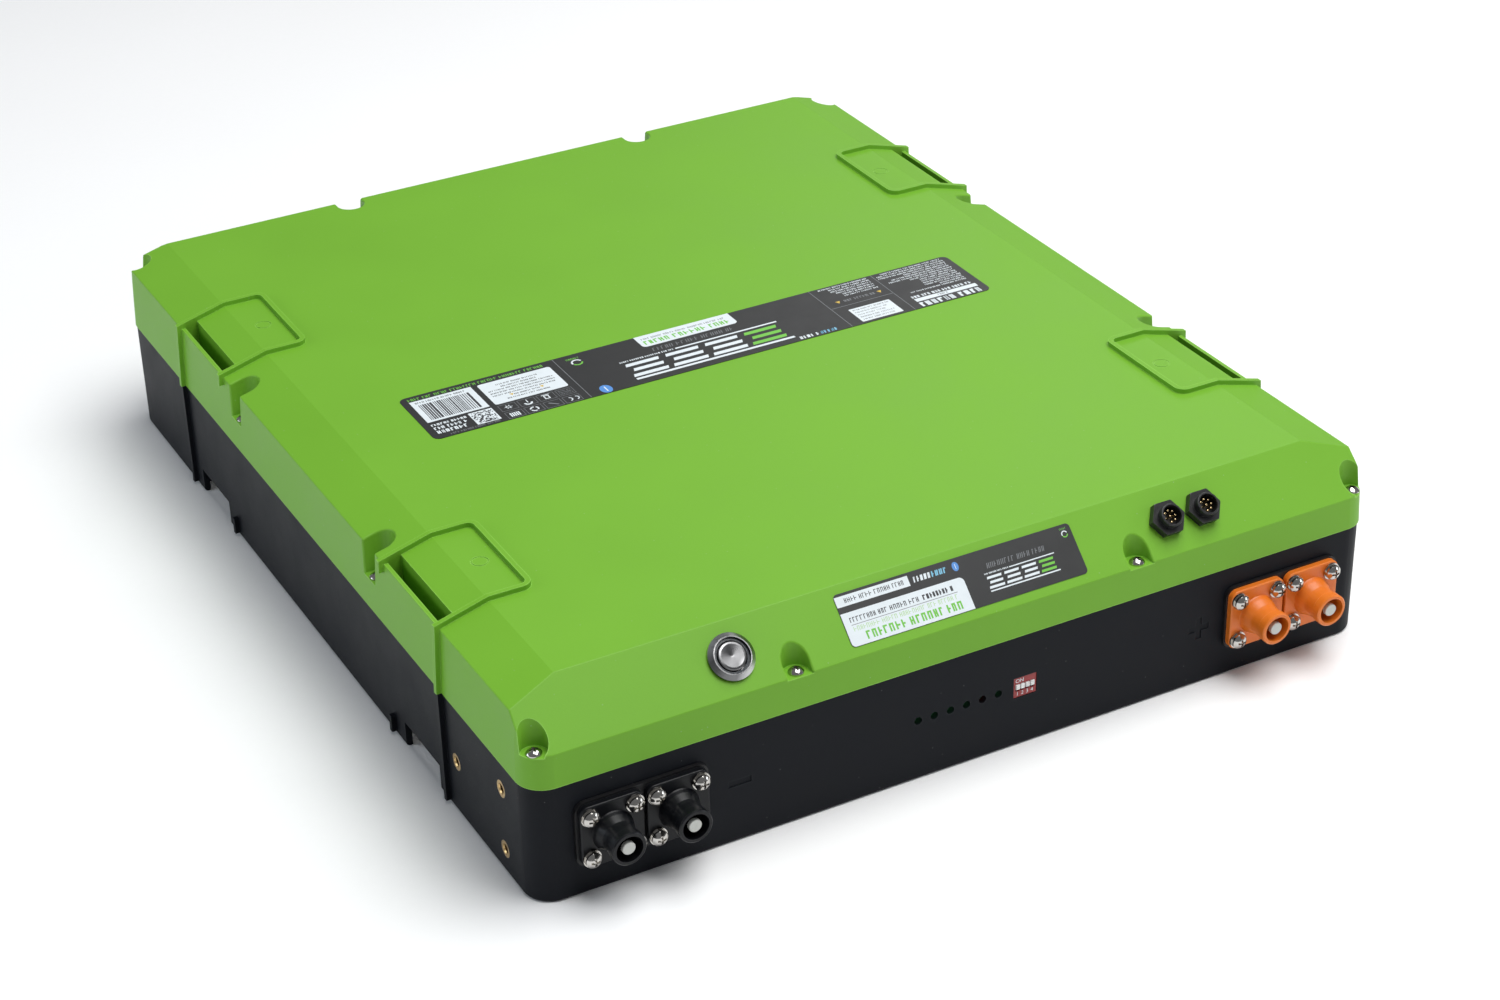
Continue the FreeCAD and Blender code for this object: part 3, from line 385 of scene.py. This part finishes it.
class Print:
    """Flat ink shapes on one label, gathered by colour. Places are millimetres on the label's face."""

    def __init__(self, name, centre, right, up, outward, slot, body="case"):
        self.name, self.centre = name, centre
        self.axes = (right, up, outward)
        self.slot, self.body = slot, body
        self.shapes = {}

    def outline(self, colour, points, level=0):
        self.shapes.setdefault(colour, []).append((points, level))

    def bar(self, colour, x0, x1, y0, y1, level=0, lean=0.0):
        shift = lean * (y1 - y0)
        self.outline(colour, [(x0, y0), (x1, y0), (x1 + shift, y1), (x0 + shift, y1)], level)

    def panel(self, colour, x0, x1, y0, y1, radii=(0, 0, 0, 0), level=0):
        """A rectangle with a radius for each corner, from the lower left anticlockwise."""
        corners = ((x0, y0, 1, 1, 180), (x1, y0, -1, 1, 270), (x1, y1, -1, -1, 0), (x0, y1, 1, -1, 90))
        points = []
        for (x, y, sx, sy, start), r in zip(corners, radii):
            if not r:
                points.append((x, y))
                continue
            for i in range(CORNER_STEPS + 1):
                a = math.radians(start + 90 // CORNER_STEPS * i)
                points.append((x + sx * r + r * math.cos(a), y + sy * r + r * math.sin(a)))
        self.outline(colour, points, level)

    def disc(self, colour, x, y, rx, ry, level=0, sides=28):
        turns = [2 * math.pi * i / sides for i in range(sides)]
        self.outline(colour, [(x + rx * math.cos(a), y + ry * math.sin(a)) for a in turns], level)

    def arc(self, colour, x, y, r, thick, start, end, level=0):
        """A ring segment made of short bars."""
        steps = max(3, int(abs(end - start) / ARC_STEP))
        for i in range(steps):
            a, b = (math.radians(start + (end - start) * k / steps) for k in (i, i + 1))
            self.outline(colour, [
                (x + (r - thick) * math.cos(a), y + (r - thick) * math.sin(a)),
                (x + r * math.cos(a), y + r * math.sin(a)),
                (x + r * math.cos(b), y + r * math.sin(b)),
                (x + (r - thick) * math.cos(b), y + (r - thick) * math.sin(b))], level)

    def frame_box(self, colour, x0, x1, y0, y1, thick, level=0):
        self.bar(colour, x0, x1, y0, y0 + thick, level)
        self.bar(colour, x0, x1, y1 - thick, y1, level)
        self.bar(colour, x0, x0 + thick, y0 + thick, y1 - thick, level)
        self.bar(colour, x1 - thick, x1, y0 + thick, y1 - thick, level)

    def words(self, colour, x0, x1, y, height, level=0, stroke=0.16, lean=0.0):
        """A line of meaningless marks with the rhythm of printed words."""
        pen = stroke * height
        x = x0
        left_in_word = rng.randint(*WORD_LETTERS)
        while x + height * LETTER_WIDTHS[1] <= x1:
            width = height * rng.uniform(*LETTER_WIDTHS)
            low, high = y - height / 2, y + height / 2
            kind = rng.randrange(4)
            self.bar(colour, x, x + pen, low, high, level, lean)
            if kind in (0, 1):
                self.bar(colour, x + width - pen, x + width, low, high, level, lean)
            if kind in (0, 2):
                self.bar(colour, x + pen, x + width - pen * (kind == 0), high - pen, high, level)
            if kind in (1, 3):
                self.bar(colour, x + pen, x + width - pen * (kind == 1), y - pen / 2, y + pen / 2, level)
            x += width + height * LETTER_GAP
            left_in_word -= 1
            if left_in_word == 0:
                x += height * WORD_GAP
                left_in_word = rng.randint(*WORD_LETTERS)

    def build(self):
        right, up, outward = self.axes
        for colour, shapes in self.shapes.items():
            mesh = bpy.data.meshes.new(self.name + "_" + colour)
            work = bmesh.new()
            for points, level in shapes:
                low = level * INK_STEP - INK_SINK
                high = (level + 1) * INK_STEP
                rings = []
                for height in (low, high):
                    lift = outward * height
                    ring = [self.centre + (right * x + up * y + lift) * MM for x, y in points]
                    rings.append([work.verts.new(p) for p in ring])
                bottom, top = rings
                count = len(points)
                work.faces.new(top)
                work.faces.new(bottom[::-1])
                for i in range(count):
                    j = (i + 1) % count
                    work.faces.new((bottom[i], bottom[j], top[j], top[i]))
            work.to_mesh(mesh)
            work.free()
            piece = bpy.data.objects.new(self.name + "_" + colour, mesh)
            bpy.context.scene.collection.objects.link(piece)
            mesh.materials.append(INKS[colour])
            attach(piece, self.body)


INKS = {
    name: surface(
        "ink_" + name, colour, 0.40, specular=0.4, tint=0.04, patch_mm=5, grain_mm=0.35, grain=0.08)
    for name, colour in INK_COLOURS.items()
}


def barcode(sheet, x0, x1, y0, y1):
    """Random bars that stand for a barcode and hold no number."""
    x = x0
    while x < x1 - 0.8:
        width = rng.choice(BAR_WIDTHS)
        sheet.bar("dark", x, x + width, y0, y1, 1)
        x += width + rng.choice(BAR_GAPS)


def square_code(sheet, x0, y0, side, cells):
    """A panel of random small squares."""
    sheet.panel("white", x0, x0 + side, y0, y0 + side)
    pitch = side / (cells + 2)
    for i in range(cells):
        for j in range(cells):
            if rng.random() < 0.5:
                x, y = x0 + pitch * (i + 1), y0 + pitch * (j + 1)
                sheet.bar("dark", x, x + pitch * CELL_FILL, y, y + pitch * CELL_FILL, 1)


def icon(sheet, kind, x, y, r):
    """One plain picture mark round x, y, within about r of it."""
    if kind == 0:
        for i in range(6):
            a = math.pi * i / 3
            tip = (x + r * math.cos(a), y + r * math.sin(a))
            side = (-math.sin(a) * r * 0.3, math.cos(a) * r * 0.3)
            sheet.outline("white", [(x + side[0], y + side[1]), (x - side[0], y - side[1]), tip])
    elif kind == 1:
        sheet.arc("white", x, y - r * 0.3, r, r * 0.45, 180, 360)
        sheet.bar("white", x - r * 0.1, x + r * 0.1, y - r * 0.3, y + r)
    elif kind == 2:
        sheet.frame_box("white", x - r * 0.6, x + r * 0.6, y - r * 0.9, y + r * 0.6, r * 0.25)
        sheet.bar("white", x - r * 0.9, x + r * 0.9, y + r * 0.75, y + r)
    elif kind == 3:
        for k in (-0.7, 0.0, 0.7):
            sheet.words("grey", x - r * 1.4, x + r * 1.6, y + k * r, r * 0.45)
    elif kind == 4:
        for k in range(5):
            left = x - r * 1.1 + k * r * 0.46
            sheet.bar("white", left, left + r * 0.3, y - r * 0.8, y + r * 0.8)
    elif kind == 5:
        for start in (80, 200, 320):
            sheet.arc("white", x, y, r, r * 0.36, start, start + 92)
    elif kind == 6:
        sheet.outline("grey", [
            (x - r, y + r * 0.6), (x + r * 0.8, y - r * 0.9),
            (x + r, y - r * 0.6), (x - r * 0.7, y + r * 0.9)])
    else:
        for side in (-1, 1):
            sheet.arc("white", x + side * r * 0.75, y, r * 0.8, r * 0.24, -80, 80)


def striped_blocks(sheet, x0, x1, y0, y1, blocks):
    """A plain band of blocks, each made of three leaning stripes; the last block is green."""
    pitch = (x1 - x0) / blocks
    step = (y1 - y0) / 5
    block_width, lean = 0.86, 0.35
    for i in range(blocks):
        colour = "green" if i == blocks - 1 else "white"
        for k, indent in enumerate((0.0, 0.12, 0.04)):
            left = x0 + pitch * (i + indent)
            y = y0 + 2 * k * step
            sheet.bar(colour, left, x0 + pitch * (i + block_width), y, y + step, 0, lean)


def top_label():
    low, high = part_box("top_label")
    centre = Vector(((low.x + high.x) / 2, (low.y + high.y) / 2, high.z))
    x_axis, y_axis, z_axis = (Vector(row) for row in Matrix.Identity(3))
    sheet = Print("top_print", centre, x_axis, y_axis, z_axis, "label_print")
    edge = 149.6
    # code block on the left
    sheet.words("green", -edge, -77.0, 19.2, 2.3)
    sheet.panel("white", -149.8, -117.8, -5.6, 17.2)
    barcode(sheet, -147.0, -121.0, -4.0, 12.6)
    sheet.words("dark", -147.5, -120.5, 14.8, 1.6, 1)
    for y, height in ((-9.2, 2.0), (-12.7, 2.5), (-16.6, 2.9)):
        sheet.words("white", -edge, -131.2, y, height, stroke=0.26)
    sheet.words("grey", -144.5, -117.6, -20.6, 1.5)
    square_code(sheet, -130.0, -19.4, 12.2, 17)
    # panel of centred lines and picture marks
    panel_left, panel_middle, line_pitch = -114.8, -95.5, 2.55
    sheet.panel("white", panel_left, -76.2, -5.9, 16.7, (1.3, 1.3, 1.3, 1.3))
    for k, half in enumerate((11.0, 9.5, 17.0, 17.0, 17.0, 7.0, 11.5)):
        y = 12.6 - line_pitch * k
        sheet.words("dark", panel_middle - half, panel_middle + half, y, 1.15, 1, 0.2)
    for x in (-103.6, -87.6):
        sheet.outline("amber", [(x - 1.1, 1.0), (x + 1.1, 1.0), (x, -0.9)], 1)
    box_width, box_height, mark_radius = 8.8, 6.5, 2.3
    for row in (0, 1):
        for column in range(4):
            x0, y1 = panel_left + 10.0 * column, -7.4 - 8.0 * row
            sheet.frame_box("grey", x0, x0 + box_width, y1 - box_height, y1, 0.25)
            icon(sheet, row * 4 + column, x0 + box_width / 2, y1 - 3.3, mark_radius)
    # dividers
    for x in (-72.2, 71.8, 108.2):
        sheet.bar("grey", x, x + 0.35, -22.3, 22.3)
    sheet.bar("grey", 72.4, 107.9, -0.9, -0.5)
    # middle field
    field_left, field_right = -45.2, 42.0
    sheet.words("green", -66.4, -59.0, 18.0, 1.6)
    sheet.arc("white", -62.5, 13.6, 3.0, 0.9, 20, 200)
    sheet.arc("green", -62.5, 13.6, 3.0, 0.9, 210, 350)
    sheet.disc("blue", -62.4, -18.2, 3.1, 4.0)
    sheet.bar("white", -62.7, -62.1, -20.6, -15.8, 1)
    sheet.panel("white", -27.5, 25.3, 10.8, 22.5, (2.2, 2.2, 0, 0))
    sheet.words("grey", -25.0, 22.0, 18.8, 1.6, 1)
    sheet.words("green", -25.2, 22.4, 14.7, 3.9, 1, 0.2)
    sheet.words("grey", -25.0, 20.5, 6.6, 3.2, lean=0.2)
    sheet.words("white", field_left, -15.5, 2.0, 1.4, stroke=0.3)
    sheet.bar("white", -14.6, field_right, 1.4, 2.6)
    striped_blocks(sheet, field_left, field_right, -14.6, -0.8, 4)
    sheet.bar("white", field_left, field_right, -17.8, -16.1)
    sheet.words("white", 43.2, 54.6, -19.9, 2.7, stroke=0.3, lean=0.15)
    sheet.words("sky", 55.0, 66.0, -19.9, 2.7, stroke=0.3, lean=0.15)
    # lines and a plain panel, then the column at the right end
    for k, x0 in enumerate((76.6, 81.4, 81.4, 83.4, 86.0, 85.8)):
        sheet.words("white", x0, 105.5, 20.6 - 2.25 * k, 1.25, stroke=0.2)
    sheet.words("grey", 82.4, 101.0, 4.2, 2.2, stroke=0.22)
    for x in (79.2, 103.3):
        sheet.outline("amber", [(x - 1.3, 5.4), (x + 1.3, 5.4), (x, 2.9)])
    sheet.panel("white", 79.0, 102.6, -20.6, -5.6, (0.6, 0.6, 0.6, 0.6))
    for k in range(5):
        sheet.words("grey", 80.6, 101.2 - 2.2 * (k % 3), -7.6 - 2.7 * k, 1.3, 1)
    starts = (113.2, 110.0, 109.8, 123.4, 115.0, 112.2, 123.4, 128.0, 127.6, 127.4, 127.0, 134.6, 116.2)
    for k, x0 in enumerate(starts):
        sheet.words("white", x0, edge, 20.6 - 2.15 * k, 1.2, stroke=0.2)
    column_left = 113.4
    sheet.words("white", column_left, edge, -10.2, 2.3, stroke=0.28)
    sheet.panel("white", column_left, edge, -15.6, -12.3)
    sheet.words("grey", 126.6, 133.4, -13.9, 1.7, 1)
    sheet.words("white", column_left, edge, -19.2, 4.6, stroke=0.3)
    sheet.build()


def slope_label():
    sheet = Print("front_print", SLOPE_CENTRE, SLOPE_RIGHT, SLOPE_UP, SLOPE_OUT, "label_print")
    edge, text_left, text_right = -59.9, -56.7, -3.7
    field_left, field_right = 11.6, 47.7
    sheet.panel("white", edge, -23.6, 6.1, 10.8)
    sheet.words("dark", -55.7, -24.8, 8.45, 2.1, 1)
    sheet.words("white", -21.5, -12.8, 8.2, 2.5, stroke=0.26, lean=0.15)
    sheet.words("sky", -12.4, -3.2, 8.2, 2.5, stroke=0.26, lean=0.15)
    sheet.disc("blue", -0.1, 8.3, 1.6, 2.1)
    sheet.bar("white", -0.25, 0.05, 7.1, 9.5, 1)
    sheet.panel("white", edge, 1.4, -11.95, 3.2, (1.8, 0, 2.4, 0))
    sheet.words("dark", text_left, -21.4, -0.4, 2.2, 1, 0.17)
    sheet.words("dark", -20.4, text_right, -0.4, 2.3, 1, 0.28)
    sheet.bar("grey", text_left, text_right, -2.75, -2.5, 1)
    sheet.words("pale_green", -56.4, text_right, -4.5, 2.1, 1, 0.14)
    sheet.words("green", -51.7, text_right, -8.5, 3.7, 1, 0.22)
    sheet.words("grey", 14.1, 44.9, 4.4, 2.4, lean=0.2)
    sheet.words("white", field_left, 24.0, 1.1, 0.7, stroke=0.3)
    sheet.bar("white", 24.4, field_right, 0.8, 1.3)
    striped_blocks(sheet, field_left, 47.4, -5.8, -0.3, 4)
    sheet.bar("white", field_left, field_right, -7.2, -6.6)
    sheet.arc("white", 56.3, 7.6, 1.6, 0.5, 20, 200)
    sheet.arc("green", 56.3, 7.6, 1.6, 0.5, 210, 350)
    sheet.words("green", 54.6, 58.4, 10.1, 0.9)
    sheet.build()


# ---------------------------------------------------------------- switch lettering
FONT_PER_HEIGHT = 1.38
CHARACTER_MM, CHARACTER_THICK_MM = 2.0, 0.01
DIGITS_BELOW_MM = 3.4
ON_ABOVE_MM, ON_IN_MM = 3.3, 3.2


def lettering(name, text, size_mm, x, z, y, ink):
    """Flat raised characters on a face that looks forward."""
    curve = bpy.data.curves.new(name, "FONT")
    curve.body = text
    curve.size = size_mm * MM * FONT_PER_HEIGHT
    curve.extrude = CHARACTER_THICK_MM * MM
    curve.align_x = "CENTER"
    curve.align_y = "CENTER"
    holder = bpy.data.objects.new(name + "_curve", curve)
    bpy.context.scene.collection.objects.link(holder)
    bpy.context.view_layer.update()
    graph = bpy.context.evaluated_depsgraph_get()
    mesh = bpy.data.meshes.new_from_object(holder.evaluated_get(graph))
    bpy.data.objects.remove(holder)
    mesh.transform(Matrix.Translation((x, y, z)) @ Matrix.Rotation(math.pi / 2, 4, "X"))
    mesh.materials.clear()
    mesh.materials.append(INKS[ink])
    piece = bpy.data.objects.new(name, mesh)
    bpy.context.scene.collection.objects.link(piece)
    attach(piece, "case")


def switch_lettering():
    low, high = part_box("dip_switch_body")
    at = (low + high) / 2
    face = low.y - CHARACTER_THICK_MM * MM
    digits_z = at.z - DIGITS_BELOW_MM * MM
    for i in range(4):
        slider_low, slider_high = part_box("dip_slider_%d" % (i + 1))
        x = (slider_low.x + slider_high.x) / 2
        lettering("switch_digit_%d" % (i + 1), str(i + 1), CHARACTER_MM, x, digits_z, face, "white")
    on_x, on_z = low.x + ON_IN_MM * MM, at.z + ON_ABOVE_MM * MM
    lettering("switch_on_mark", "ON", CHARACTER_MM, on_x, on_z, face, "white")


# ---------------------------------------------------------------- button spring
def button_spring():
    """A round-wire coil in place of the CAD spring."""
    spots = [v.co - BUTTON_AXIS_AT for v in nodes["power_button_spring"].data.vertices]
    low, high = (f(p.dot(SLOPE_OUT) for p in spots) for f in (min, max))
    reach = max((p - SLOPE_OUT * p.dot(SLOPE_OUT)).length for p in spots)
    wire, turns, steps, sides = 0.25 * MM, 3.5, 126, 10
    closed_end, rising = 0.14, 0.72
    work = bmesh.new()
    rings = []
    for i in range(steps + 1):
        share = i / steps
        rise = min(1.0, max(0.0, (share - closed_end) / rising))
        turn = 2 * math.pi * turns * share
        outward = SLOPE_RIGHT * math.cos(turn) + SLOPE_UP * math.sin(turn)
        along = low + wire + rise * (high - low - 2 * wire)
        centre = BUTTON_AXIS_AT + outward * (reach - wire) + SLOPE_OUT * along
        ring = []
        for j in range(sides):
            a = 2 * math.pi * j / sides
            spoke = outward * math.cos(a) + SLOPE_OUT * math.sin(a)
            ring.append(work.verts.new(centre + spoke * wire))
        rings.append(ring)
    for first, second in zip(rings, rings[1:]):
        for j in range(sides):
            k = (j + 1) % sides
            work.faces.new((first[j], second[j], second[k], first[k]))
    work.faces.new(rings[0])
    work.faces.new(rings[-1][::-1])
    bmesh.ops.recalc_face_normals(work, faces=work.faces)
    mesh = bpy.data.meshes.new("button_return_spring")
    work.to_mesh(mesh)
    work.free()
    mesh.materials.append(MATERIALS["spring_steel"])
    for face in mesh.polygons:
        face.use_smooth = True
    piece = bpy.data.objects.new("button_return_spring", mesh)
    bpy.context.scene.collection.objects.link(piece)
    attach(piece, "case")
    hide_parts("power_button_spring")
    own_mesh(piece)


# ---------------------------------------------------------------- stage, light and camera
FLOOR_HALF = 8.0
WORLD_COLOUR, WORLD_STRENGTH = (0.95, 0.97, 1.0, 1.0), 0.20


def floor():
    mesh = bpy.data.meshes.new("floor")
    work = bmesh.new()
    bmesh.ops.create_grid(work, x_segments=8, y_segments=8, size=FLOOR_HALF)
    work.to_mesh(mesh)
    work.free()
    piece = bpy.data.objects.new("floor", mesh)
    bpy.context.scene.collection.objects.link(piece)
    mesh.materials.append(surface(
        "floor_white", (0.96, 0.96, 0.96), 0.9, specular=0.1, tint=0.01, patch_mm=200,
        grain_mm=4, grain=0.05))


def softbox(name, at, target, size, power, colour=(1, 1, 1)):
    lamp = bpy.data.lights.new(name, "AREA")
    lamp.shape = "RECTANGLE"
    lamp.size, lamp.size_y = size
    lamp.energy = power
    lamp.color = colour
    holder = bpy.data.objects.new(name, lamp)
    holder.location = at
    holder.rotation_euler = (Vector(target) - Vector(at)).to_track_quat("-Z", "Y").to_euler()
    bpy.context.scene.collection.objects.link(holder)


def lights():
    softbox("overhead", at=(0.45, -0.35, 1.85), target=(0.05, -0.05, 0.1), size=(1.7, 1.4), power=43)
    softbox("left_fill", at=(-2.0, 0.5, 0.75), target=(0, 0, 0.05), size=(1.4, 0.8), power=12,
            colour=(0.80, 0.90, 1.0))
    softbox("right_front", at=(2.0, -1.3, 0.7), target=(0.1, 0, 0.05), size=(0.7, 0.7), power=6,
            colour=(0.9, 0.95, 1.0))
    softbox("right_back", at=(1.5, 1.7, 1.2), target=(0.1, 0, 0.1), size=(1.0, 0.6), power=4)
    world = bpy.data.worlds.new("studio")
    world.use_nodes = True
    background = world.node_tree.nodes["Background"]
    background.inputs["Color"].default_value = WORLD_COLOUR
    background.inputs["Strength"].default_value = WORLD_STRENGTH
    bpy.context.scene.world = world


CAMERA_AT = (-0.60116, -1.17610, 0.77798)
CAMERA_AZIMUTH = -27.5343
CAMERA_ELEVATION = 30.2429
CAMERA_ROLL = -1.5781
CAMERA_LENS, CAMERA_SENSOR = 72.4226, 36
CAMERA_SHIFT_X, CAMERA_SHIFT_Y = 0.01376, -0.00086
CAMERA_NEAR, CAMERA_FAR = 0.05, 50


def camera():
    data = bpy.data.cameras.new("camera")
    data.lens = CAMERA_LENS
    data.sensor_width = CAMERA_SENSOR
    data.shift_x = CAMERA_SHIFT_X
    data.shift_y = CAMERA_SHIFT_Y
    data.clip_start = CAMERA_NEAR
    data.clip_end = CAMERA_FAR
    holder = bpy.data.objects.new("camera", data)
    azimuth, elevation, roll = (math.radians(a) for a in (CAMERA_AZIMUTH, CAMERA_ELEVATION, CAMERA_ROLL))
    flat = math.cos(elevation)
    back = Vector((math.sin(azimuth) * flat, -math.cos(azimuth) * flat, math.sin(elevation)))
    level = Vector((math.cos(azimuth), math.sin(azimuth), 0))
    above = back.cross(level)
    right = level * math.cos(roll) + above * math.sin(roll)
    up = above * math.cos(roll) - level * math.sin(roll)
    turn = Matrix((right, up, back)).transposed()
    holder.matrix_world = Matrix.Translation(CAMERA_AT) @ turn.to_4x4()
    bpy.context.scene.collection.objects.link(holder)
    bpy.context.scene.camera = holder


finish_cad_nodes()
top_label()
slope_label()
switch_lettering()
button_spring()
floor()
lights()
camera()
bpy.context.scene.view_settings.view_transform = "Standard"
